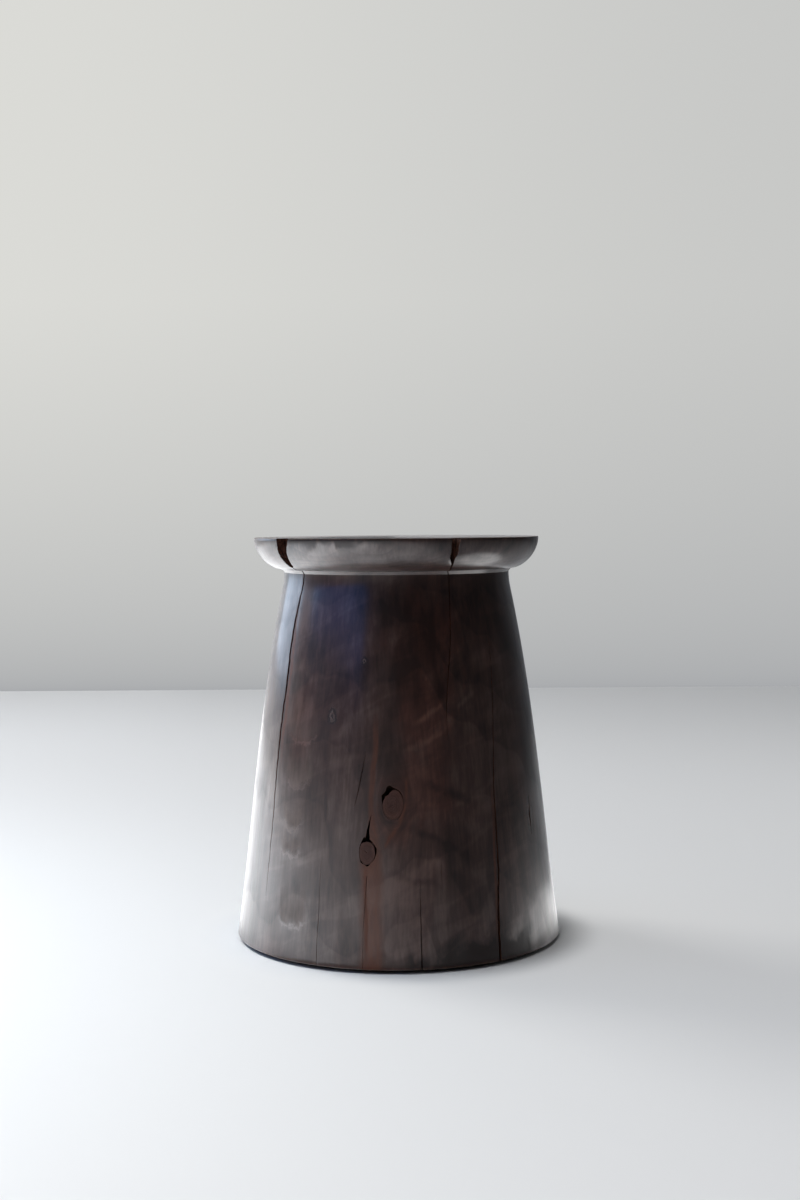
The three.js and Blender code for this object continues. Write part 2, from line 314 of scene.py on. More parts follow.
# a half section spun about the Z axis into a closed piece
def spun(profile, columns, weld=1e-7):
    shape = bmesh.new()
    verts = [shape.verts.new((point.x, 0, point.y)) for point in profile]
    edges = [shape.edges.new(pair) for pair in zip(verts, verts[1:])]
    bmesh.ops.spin(shape, geom=verts + edges, axis=(0, 0, 1), cent=(0, 0, 0),
                   angle=2 * math.pi, steps=columns, use_merge=True)
    bmesh.ops.remove_doubles(shape, verts=shape.verts, dist=weld)
    bmesh.ops.recalc_face_normals(shape, faces=shape.faces)
    return shape


# a bmesh made a piece, smooth but for edges sharper than the angle
def finished(shape, name, materials, smoothAngle=40):
    mesh = bpy.data.meshes.new(name)
    shape.to_mesh(mesh)
    shape.free()
    piece = bpy.data.objects.new(name, mesh)
    bpy.context.scene.collection.objects.link(piece)
    for material in materials:
        mesh.materials.append(material)
    mesh.shade_smooth()
    if smoothAngle:
        mesh.set_sharp_from_angle(angle=math.radians(smoothAngle))
    return piece


def dropped(piece):
    mesh = piece.data
    bpy.data.objects.remove(piece)
    bpy.data.meshes.remove(mesh)


# a piece carved by one cutter, which is used up
def carved(piece, cutter):
    cut = piece.modifiers.new("cut", "BOOLEAN")
    cut.operation = "DIFFERENCE"
    cut.solver = "MANIFOLD"
    cut.material_mode = "INDEX"
    cut.object = cutter
    graph = bpy.context.evaluated_depsgraph_get()
    result = bpy.data.meshes.new_from_object(piece.evaluated_get(graph), depsgraph=graph)
    piece.modifiers.clear()
    old = piece.data
    piece.data = result
    bpy.data.meshes.remove(old)
    dropped(cutter)


# slivers that two cuts leave loose between them go, and the largest block stays
def withoutSlivers(piece):
    shape = bmesh.new()
    shape.from_mesh(piece.data)
    islands = []
    for start in shape.verts:
        if start.tag:
            continue
        start.tag = True
        island = [start]
        for vert in island:
            for edge in vert.link_edges:
                other = edge.other_vert(vert)
                if not other.tag:
                    other.tag = True
                    island.append(other)
        islands.append(island)
    islands.sort(key=len)
    slivers = [vert for island in islands[:-1] for vert in island]
    bmesh.ops.delete(shape, geom=slivers, context="VERTS")
    shape.to_mesh(piece.data)
    shape.free()


# checks: each runs from the skin towards the pith, with cutters that reach out past the skin
pith = Vector((0.009, 0.010))
overcut = 0.008
mouthFlare = 0.4
splitting = {
    "wanderScales": (45, 160),
    "wallScales": ((700, 90), (1500, 420)),
    "fineWander": 0.5,
    "fineWall": 0.6,
    "calmBelow": 0.6,
    "thinnest": 0.02,
    "seedStep": 11.3,
}


# levels: 0 at the base, 1 at the neck, and from there to 2 up the thickness of the rim
def levelZ(level):
    if level > 1:
        return undersideZ + turning["rimThickness"] * (level - 1)
    return baseZ + (neckZ - baseZ) * level


belowBase = -0.002 / (neckZ - baseZ)
aboveSeat = 2 + 0.002 / turning["rimThickness"]

# each station gives the level, the angle from the front towards the right, and the width at
# the skin and the depth towards the pith in millimetres
checks = {
    "leftLong": {
        "stations": [
            (0.15, -55.3, 0.15, 3),
            (0.22, -55.3, 0.6, 12),
            (0.365, -55.1, 1.3, 22),
            (0.48, -55.7, 1.7, 30),
            (0.585, -55.5, 2.5, 34),
            (0.715, -54.8, 3.0, 40),
            (0.86, -55, 2.8, 46),
            (0.995, -52.3, 2.1, 56),
            (1.08, -52.2, 1.6, 66),
            (1.55, -51.2, 2.4, 96),
            (aboveSeat, -50, 3.2, 122),
        ],
        "rows": 230, "steps": 6, "fullness": 1.2, "wander": 1.0, "ragged": 0.34, "lip": 0.14,
    },
    "leftTear": {
        "stations": [
            (1.1, -52.6, 0.4, 2),
            (1.14, -52.2, 8.8, 8),
            (1.27, -51.7, 10.4, 13),
            (1.39, -51.8, 12.2, 15),
            (1.54, -51.4, 14.4, 17),
            (1.7, -50.9, 16.7, 18),
            (1.85, -50.2, 18.3, 20),
            (aboveSeat, -49.6, 21, 22),
        ],
        "rows": 60, "steps": 16, "fullness": 3.2, "wander": 0.5, "ragged": 1.5, "lip": 0.7,
    },
    "rightFine": {
        "stations": [
            (0.57, 20, 0.1, 3),
            (0.66, 20.3, 0.8, 8),
            (0.745, 22, 1.0, 16),
            (0.835, 24.4, 1.1, 22),
            (0.91, 25.2, 1.1, 28),
            (0.995, 26.3, 1.1, 36),
            (1.1, 23.9, 1.4, 46),
            (1.55, 23.1, 1.8, 76),
            (aboveSeat, 23.4, 2.4, 104),
        ],
        "rows": 130, "steps": 6, "fullness": 1.2, "wander": 0.6, "ragged": 0.14, "lip": 0.25,
    },
    "rightTear": {
        "stations": [
            (1.07, 23.6, 0.4, 2),
            (1.27, 23.1, 2.4, 8),
            (1.4, 22.8, 5, 12),
            (1.56, 22.9, 7.5, 14),
            (1.72, 23, 8.8, 15),
            (aboveSeat, 23.4, 10, 17),
        ],
        "rows": 60, "steps": 14, "fullness": 2.6, "wander": 0.5, "ragged": 1.6, "lip": 0.7,
    },
    "rightMain": {
        "stations": [
            (belowBase, 35.9, 3.1, 62),
            (0.03, 36.1, 2.8, 60),
            (0.136, 37.1, 2.3, 52),
            (0.23, 38.5, 2.0, 46),
            (0.325, 39, 1.7, 40),
            (0.45, 39.4, 1.3, 30),
            (0.577, 41.6, 0.9, 20),
            (0.77, 45, 0.5, 10),
            (0.84, 45.6, 0.1, 3),
        ],
        "rows": 210, "steps": 6, "fullness": 1.2, "wander": 0.7, "ragged": 0.16, "lip": 0.35,
    },
    "centreFoot": {
        "stations": [
            (belowBase, 7.5, 1.3, 36),
            (0.12, 7.5, 0.8, 20),
            (0.23, 7.6, 0.1, 3),
        ],
        "rows": 60, "steps": 5, "fullness": 1.2, "wander": 0.5, "ragged": 0.1, "lip": 0.2,
    },
    "leftFoot": {
        "stations": [
            (belowBase, -28.5, 0.6, 26),
            (0.14, -28.7, 0.45, 14),
            (0.265, -28.7, 0.1, 3),
        ],
        "rows": 60, "steps": 5, "fullness": 1.2, "wander": 0.6, "ragged": 0.06, "lip": 0.1,
    },
    "rightFoot": {
        "stations": [
            (0.185, 15.3, 0.1, 2),
            (0.24, 15.3, 0.4, 5),
            (0.31, 15.4, 0.1, 2),
        ],
        "rows": 30, "steps": 4, "fullness": 1.2, "wander": 0.4, "ragged": 0.06, "lip": 0.1,
    },
    "underLowerKnot": {
        "stations": [
            (belowBase, -12, 0.45, 10),
            (0.1, -12.1, 0.35, 8),
            (0.235, -11.1, 0.6, 6),
        ],
        "rows": 50, "steps": 4, "fullness": 1.2, "wander": 0.5, "ragged": 0.05, "lip": 0.1,
    },
    "aboveLowerKnot": {
        "stations": [
            (0.315, -11.3, 5, 12),
            (0.335, -11.1, 4, 11),
            (0.352, -11, 2.2, 9),
            (0.366, -10.6, 1.5, 7),
            (0.39, -9.9, 0.1, 2),
        ],
        "rows": 40, "steps": 5, "fullness": 2, "wander": 0.4, "ragged": 0.4, "lip": 0.2,
        "inside": 2,
    },
    "leftSlant": {
        "stations": [
            (0.41, -16.2, 0.1, 2),
            (0.45, -15, 0.9, 6),
            (0.5, -13.6, 0.8, 6),
            (0.55, -12.3, 0.1, 2),
        ],
        "rows": 40, "steps": 4, "fullness": 1.2, "wander": 0.4, "ragged": 0.1, "lip": 0.15,
    },
    "rightSoundKnot": {
        "stations": [
            (0.3, 60.2, 0.1, 2),
            (0.33, 60.5, 1.7, 9),
            (0.352, 60.3, 2.4, 9),
            (0.375, 61, 1.1, 6),
            (0.405, 61.2, 0.1, 2),
        ],
        "rows": 40, "steps": 4, "fullness": 1.4, "wander": 0.5, "ragged": 0.3, "lip": 0.3,
    },
}


# angle, width and depth between two stations
def blended(stations, z):
    for low, high in zip(stations, stations[1:]):
        if z <= high[0]:
            break
    share = (z - low[0]) / (high[0] - low[0])
    return [a + (b - a) * share for a, b in zip(low[1:], high[1:])]


def unevenness(x, y, z):
    return noise.noise(Vector((x, y, z)))


def drifted(seed, z):
    coarse, fine = splitting["wanderScales"]
    drift = unevenness(seed, 0, z * coarse)
    return drift + splitting["fineWander"] * unevenness(seed, 3, z * fine)


def wallGrain(seed, side, reach, z):
    (inward, up), (fineInward, fineUp) = splitting["wallScales"]
    grain = unevenness(seed + side * 5, reach * inward, z * up)
    fine = unevenness(seed + side * 9, reach * fineInward, z * fineUp)
    return grain + splitting["fineWall"] * fine


# a block split into rows up its height and steps into its depth, each vertex then moved to its
# place on the walls of the check
def checkCutter(name, check, seed):
    tool = bmesh.new()
    bmesh.ops.create_cube(tool, size=1)
    for axis, cuts in ((2, check["rows"]), (1, check["steps"])):
        edges = [e for e in tool.edges if abs(e.verts[0].co[axis] - e.verts[1].co[axis]) > 0.5]
        bmesh.ops.subdivide_edges(tool, edges=edges, cuts=cuts, use_grid_fill=True)
    stations = [(levelZ(level), *rest) for level, *rest in check["stations"]]
    lowZ, highZ = stations[0][0], stations[-1][0]
    lip = check["lip"] * mm
    for vert in tool.verts:
        side = 1 if vert.co.x > 0 else -1
        into = vert.co.y + 0.5
        z = lowZ + (highZ - lowZ) * (vert.co.z + 0.5)
        angle, width, depth = blended(stations, z)
        width *= mm
        depth *= mm
        skin = skinRadius(z)
        turn = math.radians(angle) + check["wander"] * mm * drifted(seed, z) / skin
        mouth = Vector((math.sin(turn), -math.cos(turn))) * skin
        inward = (pith - mouth).normalized()
        across = Vector((inward.y, -inward.x))
        # the first two steps reach out past the skin and round the lip, the rest go in
        stepSize = 1 / (check["steps"] + 1)
        level = round(into / stepSize)
        if level == 0:
            reach = -overcut
            half = width / 2 + lip + overcut * mouthFlare
        elif level == 1:
            reach = 0
            half = width / 2 + lip
        else:
            share = (level - 2) / (check["steps"] - 1)
            share = math.sin(share * math.pi / 2)
            reach = lip + (depth - lip) * share
            half = width / 2 * (1 - share ** check["fullness"])
        calm = min(1, half / (splitting["calmBelow"] * mm))
        half += check["ragged"] * mm * wallGrain(seed, side, reach, z) * calm
        half = max(half, splitting["thinnest"] * mm)
        point = mouth + inward * reach + across * side * half
        point -= point.normalized() * (half * half / (2 * skin))
        vert.co = (point.x, point.y, z)
    bmesh.ops.recalc_face_normals(tool, faces=tool.faces)
    # the walls below the lip carry the slot of the torn wood, or of a pocket
    for face in tool.faces:
        middle = face.calc_center_median()
        below = skinRadius(middle.z) - middle.xy.length > lip * 0.9
        face.material_index = check.get("inside", 1) if below else 0
    return finished(tool, name, [], smoothAngle=None)


# knots: place on the skin, size in millimetres, the gap that the lost bark left, and what the
# branch lost at its edge, as (middle, width, spread) with angles anticlockwise from the right
knots = {
    "upper_knot": {
        "angle": -1.9, "height": 166, "width": 22, "tall": 31, "depth": 70, "rise": 18,
        "gaps": [(104, 4.2, 13), (138, 1.7, 20), (58, 0.6, 18)],
        "losses": [(112, 3.0, 22), (150, 1.3, 18)],
        "cracks": [(215, 0.5)], "seed": 3.1,
    },
    "lower_knot": {
        "angle": -11.2, "height": 117.5, "width": 17, "tall": 25, "depth": 60, "rise": 15,
        "gaps": [(100, 2.2, 18), (15, 1.3, 38), (272, 1.5, 9), (239, 1.2, 9)],
        "losses": [(92, 2.2, 28), (15, 0.5, 36)],
        "cracks": [(150, 0.45)], "seed": 8.4,
    },
}
knotShape = {
    "taper": 0.4,
    "clearance": 0.05,
    "barkDepth": 14,
    "lip": 0.11,
    "pocketRows": (2, 4, 6, 8, 10, 12),
    "columns": 144,
    "faceRows": 26,
    "sideRows": 12,
    "flatShare": 0.96,
    "easeShare": 0.985,
    "easeDrop": 0.08,
    "edgeDrop": 0.4,
    "faceWithin": 0.5,
    "sunk": 0.18,
    "unevenFace": 0.15,
    "unevenOutline": 0.06,
    "unevenBark": 0.3,
    "raggedBark": 0.12,
    "crackDepth": 0.7,
    "crackWidth": 0.25,
    "crackWander": 9,
    "smoothBelow": 50,
}


# how far the slightly uneven side lies below the turned one
def skinDip(point):
    scale = turning["wavesAcross"]
    swell = unevenness(point.x * scale, point.y * scale, point.z * turning["wavesUp"])
    return turning["waviness"] * (1 + swell)


# a place over a knot: across and up on the skin, and in from it along the branch
def overKnot(knot, across, up, inward):
    up -= inward * math.tan(math.radians(knot["rise"]))
    z = baseZ + (knot["height"] + up) * mm
    skin = skinRadius(z)
    turn = math.radians(knot["angle"]) + across * mm / skin
    point = Vector((skin * math.sin(turn), -skin * math.cos(turn), z))
    radius = skin - inward * mm - skinDip(point)
    return Vector((radius * math.sin(turn), -radius * math.cos(turn), z))


# from the knot's middle to its outline, an oval that isn't quite even and narrows inwards
def knotReach(knot, turn, inward):
    x, y = math.cos(turn), math.sin(turn)
    uneven = unevenness(x * 1.4, y * 1.4, knot["seed"])
    uneven += 0.35 * unevenness(x * 5, y * 5, knot["seed"])
    narrowing = 1 - (1 - knotShape["taper"]) * max(0, inward) / knot["depth"]
    oval = math.hypot(x / (knot["width"] / 2), y / (knot["tall"] / 2))
    return narrowing * (1 + knotShape["unevenOutline"] * uneven) / oval


def degreesFrom(middle, turn):
    return (math.degrees(turn) - middle + 180) % 360 - 180


# the gaps or the losses at one place round the knot, which end where the bark does
def around(knot, kind, turn, inward):
    total = 0
    for middle, width, spread in knot[kind]:
        total += width * math.exp(-((degreesFrom(middle, turn) / spread) ** 2))
    uneven = unevenness(turn * 5, inward * 0.3, knot["seed"])
    total *= 1 + knotShape["unevenBark"] * uneven
    return total * min(1, max(0, 1 - inward / knotShape["barkDepth"]))


# small cracks that run from the knot's middle outwards
def knotCrack(knot, turn, share):
    depth = 0
    for middle, length in knot["cracks"]:
        wander = knotShape["crackWander"] * unevenness(share * 4, middle, knot["seed"])
        away = degreesFrom(middle + wander, turn)
        aside = math.radians(away) * share * knot["width"] / 2
        parting = min(1, max(0, 1 - share / length) * 2)
        depth += parting * math.exp(-((aside / knotShape["crackWidth"]) ** 2))
    return min(depth, 1) * knotShape["crackDepth"]


# the plug: a disc flush with the skin, its edge eased, and a stub that narrows inwards
def knotPlug(name, knot, finish):
    rows = knotShape["faceRows"]
    sideRows = knotShape["sideRows"]
    edge = knotShape["edgeDrop"]
    stub = knot["depth"] - edge
    profile = [Vector((knotShape["flatShare"] * i / rows, 0)) for i in range(rows + 1)]
    profile += [Vector((knotShape["easeShare"], -knotShape["easeDrop"])), Vector((1, -edge))]
    profile += [Vector((1, -edge - stub * i / sideRows)) for i in range(1, sideRows + 1)]
    profile.append(Vector((0, -knot["depth"])))
    shape = spun(profile, knotShape["columns"], weld=1e-4)
    for vert in shape.verts:
        share = vert.co.xy.length
        turn = math.atan2(vert.co.y, vert.co.x)
        x, y = math.cos(turn), math.sin(turn)
        inward = -vert.co.z
        reach = (knotReach(knot, turn, inward) - around(knot, "losses", turn, inward)) * share
        if inward < knotShape["faceWithin"]:
            uneven = unevenness(share * x * 3, share * y * 3, 7)
            inward += knotCrack(knot, turn, share)
            inward += knotShape["sunk"] + knotShape["unevenFace"] * uneven
        vert.co = overKnot(knot, reach * x, reach * y, inward)
    bmesh.ops.recalc_face_normals(shape, faces=shape.faces)
    plug = finished(shape, name + "_wood", [finish], knotShape["smoothBelow"])
    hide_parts(name)
    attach(plug, "root")


# the pocket: the same outline, wider by the clearance and by the gap, with an eased mouth
def knotPocket(name, knot):
    lip = knotShape["lip"]
    depth = knot["depth"] + knotShape["clearance"]
    levels = [-overcut / mm, 0, lip, *knotShape["pocketRows"], knotShape["barkDepth"]]
    levels += [depth * 0.5, depth]
    profile = [Vector((1, -level)) for level in levels]
    profile = [Vector((0, -levels[0])), *profile, Vector((0, -depth))]
    shape = spun(profile, knotShape["columns"], weld=1e-4)
    for vert in shape.verts:
        share = vert.co.xy.length
        turn = math.atan2(vert.co.y, vert.co.x)
        inward = -vert.co.z
        gap = around(knot, "gaps", turn, max(inward, 0))
        reach = knotReach(knot, turn, inward) + knotShape["clearance"] + gap
        if inward < lip * 0.5:
            reach += lip - mouthFlare * min(0, inward)
        torn = unevenness(turn * 14, inward, knot["seed"])
        reach += knotShape["raggedBark"] * torn * min(1, gap)
        reach *= share
        vert.co = overKnot(knot, reach * math.cos(turn), reach * math.sin(turn), inward)
    bmesh.ops.recalc_face_normals(shape, faces=shape.faces)
    for face in shape.faces:
        middle = face.calc_center_median()
        face.material_index = 2 if skinRadius(middle.z) - middle.xy.length > lip * mm else 0
    return finished(shape, name + "_pocket", [], smoothAngle=None)


# wood: sound knots are only figure, so they share the flow of the grain but no gap
soundKnots = [
    {"angle": -27.1, "height": 254, "width": 8, "tall": 14},
    {"angle": -13.9, "height": 310, "width": 5, "tall": 8},
    {"angle": 60.6, "height": 140, "width": 13, "tall": 30},
    {"angle": 151, "height": 205, "width": 9, "tall": 14},
]
wood = {
    "deep": (0.0145, 0.0068, 0.0056),
    "middle": (0.048, 0.0240, 0.0195),
    "light": (0.105, 0.066, 0.056),
    "red": (0.105, 0.034, 0.017),
    "brown": (0.125, 0.085, 0.066),
    "worn": (0.12, 0.058, 0.031),
    "warmTint": (1.2, 0.86, 0.74),
    "ringWidth": 10,
    "firstRing": 4.1,
    "ringSwell": 26,
    "scallop": 6,
    "fineRing": 3.4,
    "fineSwell": 14,
    "fineScallop": 3,
    "flowStretch": 0.45,
    "wispSlant": 0.5,
    "roughness": (0.29, 0.4),
    "seatRougher": 0.05,
    "coat": (0.04, 1),
    "coatLostOnSeat": 0.6,
    "coatRoughness": 0.16,
    "coatIor": 1.74,
}
# noise behind each layer of the figure: scale, detail, roughness, distortion
layers = {
    "swell": (0.011, 2, 0.5),
    "scallop": (0.03, 1, 0.4),
    "ringTone": (1, 0, 0.5),
    "streaks": (0.06, 3, 0.6),
    "lines": (0.32, 3, 0.6),
    "fibres": (1.1, 3, 0.65),
    "patches": (0.017, 3, 0.5, 0.6),
    "wisps": (0.045, 3, 0.5, 0.8),
    "pores": (2.4, 2, 0.6),
    "loose": (0.05, 3, 0.55, 0.5),
    "ragged": (0.13, 4, 0.7),
    "fine": (0.9, 2, 0.5),
    "warmth": (0.02, 2, 0.5),
    "wobble": (0.025, 2, 0.5),
    "lathe": (0.35, 3, 0.6),
    "uneven": (0.05, 2, 0.5),
}
# how much each layer lightens or darkens the wood
shares = {
    "streaks": 0.28,
    "lines": 0.17,
    "patches": 0.26,
    "wisps": 0.2,
    "ringTone": 0.12,
    "fibres": 0.2,
    "late": 0.2,
    "pores": 0.07,
    "halo": 0.02,
    "fineRings": 0.3,
    "vein": 0.6,
    "glintSpecks": 0.6,
}
# relief in the finish: depth and strength
reliefs = {
    "uneven": (0.5 * mm, 0.6),
    "lathe": (0.05 * mm, 0.5),
    "grain": (0.06 * mm, 0.8),
}
# the red streak runs through the lower knot: heights, places across and half widths
redStreak = {
    "top": (250, -22),
    "bend": (165, -27.5),
    "broadBelow": 108,
    "width": 13,
    "slimWidth": 3.2,
    "wobble": 9,
    "fade": 20,
    "fullBelow": 0.3,
}
# the line of the long left crack, with painted glints as pale specks beside it
longCrack = {
    "across": -132.5,
    "height": 290,
    "lean": 0.128,
    "glintBand": (2, 22),
}
# strokes of figure and painted light: place across, height, half length, half width, tilt, change
# of tone
figureAndLightStrokes = [
    (34, 261, 24, 4.5, 35, 0.33),
    (27, 232, 30, 5, 23, 0.27),
    (74, 273, 18, 5, 35, 0.22),
    (-50, 205, 100, 21, 86, 0.26),
    (-10, 70, 90, 60, 80, 0.14),
    (-76, 195, 72, 6, 91, -0.26),
    # painted reflection: lighter and glossier high on the left, where a window is mirrored
    (-113, 368, 40, 24, 84, 0.4),
    (-75, 290, 75, 38, 90, -0.22),
    # painted shade: darker high up on the front
    (15, 325, 90, 50, 90, -0.28),
    (52, 179, 40, 7, -24, -0.24),
    (42, 131, 52, 7, -27, -0.24),
    (16, 94, 34, 6, -12, -0.18),
    (70, 150, 34, 12, -20, 0.16),
    (60, 105, 44, 10, -24, 0.16),
    (-122, 184, 30, 9, -18, 0.2),
    (-128, 139, 24, 8, -14, 0.2),
    (-120, 108, 30, 8, -8, 0.18),
    (-126, 38, 18, 12, 20, 0.2),
    # painted shadow: darker low on the right of the foot
    (96, 8, 100, 36, 0, -0.55),
    (-20, 190, 26, 7, 80, 0.18),
    # painted shade: a darker band along the top of the rim on the left
    (-70, 443, 85, 15, 0, -0.9),
    # painted shadow: darker along the bottom of the foot
    (50, 8, 150, 18, 0, -0.3),
    (-158, 200, 60, 17, 88, 0.34),
    (8, 152, 34, 4, 52, -0.16),
]
# matt brown stretches along the left side, laid the same way
brownPatches = [
    (-126, 275, 55, 26, 88, 0.5),
    (-150, 225, 50, 12, 90, 0.35),
    (-216, 298, 34, 12, 90, 1),
    (-165, 426, 34, 20, 0, 0.6),
    (-215, 440, 50, 9, 0, 1),
]
# brown flames whose lower edge hangs in a bow over a pale vein: place across and height of its
# lowest point, half width, how tall, how deep the bow, how brown
flames = [
    (-108, 229, 24, 30, 12, 0.22),
    (-114, 181, 22, 38, 16, 0.55),
    (-121, 139, 17, 32, 12, 0.7),
    (-124, 113, 17, 22, 6, 0.6),
    (-121, 40, 22, 58, 8, 0.6),
]
# thin red lines beside the cracks and round the knots, laid as the strokes are
redLines = [
    (-132.5, 290, 100, 5, 82.7, 1.3),
    (107.5, 105, 100, 2.6, 91.4, 0.7),
    (-8.2, 136.7, 16, 3.2, 60, 0.8),
    (4.5, 160, 16, 2.8, 68, 0.7),
    (9.5, 185, 16, 2.8, 87, 0.6),
    (-33.8, 62, 52, 2.2, 91, 0.9),
]
# stretches of warmer heartwood, laid the same way
warmPatches = [
    (30, 300, 120, 50, 90, 0.7),
    (-8, 165, 50, 32, 84, 0.6),
    (14, 175, 55, 40, 40, 0.4),
    (60, 165, 55, 26, 155, 0.3),
    (-122, 240, 60, 30, 85, 0.4),
]


# from a knot's middle: millimetres aside and up, and the share of its size, 1 at its outline
def fromKnot(knot, angle, z):
    height = baseZ / mm + knot["height"]
    aside = (angle - math.radians(knot["angle"])) * (skinRadius(height * mm) / mm)
    rise = z - height
    away = ((aside / (knot["width"] / 2)) ** 2 + (rise / (knot["tall"] / 2)) ** 2).at("SQRT")
    return aside, rise, away


# the grain parts round every knot: how far it is turned aside, how far the rings bulge, the
# darker ground, the ripples round the encased knots, and how far away each sound knot is
def knotFlow(finish, angle, z):
    shift = 0
    bulge = 0
    halo = 0
    ripples = 0
    soundAway = []
    for knot in list(knots.values()) + soundKnots:
        aside, rise, away = fromKnot(knot, angle, z)
        reach = knot["width"] * 0.6
        parting = aside * aside + (rise * wood["flowStretch"]) ** 2 + 4
        shift = aside * reach ** 2 / parting + shift
        swelling = (aside * aside + rise * rise * 0.3) / (reach * reach * 3) + 1
        bulge = knot["width"] * 0.25 / swelling + bulge
        if knot in soundKnots:
            soundAway.append(away)
        else:
            ripple = (away * 4.2 + 0.6).at("FRACT")
            ripples = ripple ** 2 * away.spread(1.0, 1.9, 0.16, 0) + ripples
        halo = away.spread(1.0, 1.9, 1, 0) + halo
    return shift, bulge, halo, ripples, soundAway


# soft strokes laid on the unrolled side
def laid(finish, across, z, loose, marks):
    total = 0
    for middle, height, length, width, tilt, change in marks:
        tilt = math.radians(tilt)
        aside = across - middle
        rise = z - height
        along = aside * math.cos(tilt) + rise * math.sin(tilt)
        off = rise * math.cos(tilt) - aside * math.sin(tilt) + loose * width * 2.5
        mask = abs(off).spread(0, width, change, 0)
        total = mask * abs(along).spread(length * 0.4, length, 1, 0) + total
    return total


# the brown of the flames and the veins along their lower edges
def flameFigure(finish, across, z, ragged):
    flamed = 0
    vein = 0
    for middle, height, width, tall, sag, change in flames:
        share = (across - middle) / width
        above = z - height - share * share * sag + ragged * 30
        inside = abs(share).spread(0.6, 1.1, 1, 0)
        fill = above.spread(0, 2.5, 0, change)
        fill = fill * above.spread(tall * 0.1, tall, 1, 0)
        flamed = fill * inside + flamed
        vein = abs(above + 1.8).spread(0.3, 3, 1, 0) * inside + vein
    return flamed, vein


# sound knots: a dark centre, a paler ring and a dark outline, all a little torn
def eyeFigure(finish, soundAway, torn):
    eyeTone = 0
    for away in soundAway:
        eye = away + torn
        outline = abs(eye - 1).spread(0, 0.4, 0.45, 0)
        ring = abs(eye - 0.62).spread(0, 0.3, 0.45, 0)
        centre = eye.spread(0.1, 0.5, 0.6, 0)
        eyeTone = ring - outline - centre + eyeTone
    return eyeTone


# where the red streak lies, and how red it is there
def streakFigure(finish, across, z, lines):
    topHeight, topAcross = redStreak["top"]
    bendHeight, bendAcross = redStreak["bend"]
    low = redStreak["broadBelow"]
    fade = redStreak["fade"]
    middle = z.spread(bendHeight, topHeight, bendAcross, topAcross)
    wobble = finish.cloud(finish.joined(across * 0.3, 0, z), *layers["wobble"]) - 0.5
    width = z.spread(low, bendHeight, redStreak["width"], redStreak["slimWidth"])
    aside = abs(across - middle - wobble * redStreak["wobble"]) / width
    streak = aside.spread(0.4, 1.25, 1, 0)
    streak = streak * z.spread(topHeight - fade, topHeight + fade, 1, 0)
    broad = z.spread(low, bendHeight, redStreak["fullBelow"], 0)
    return streak, streak * (lines * 0.35 + 0.36 + broad)


# stain worn thin on the arrises at the foot and round the seat
def wornEdges(finish, radius, z):
    foot = baseZ / mm
    seat = topZ / mm
    lower = z.spread(foot + 0.3, foot + 3.2, 1, 0) * radius.spread(174, 176)
    upper = z.spread(seat - 1.4, seat - 0.3) * radius.spread(150, 154)
    return lower + upper


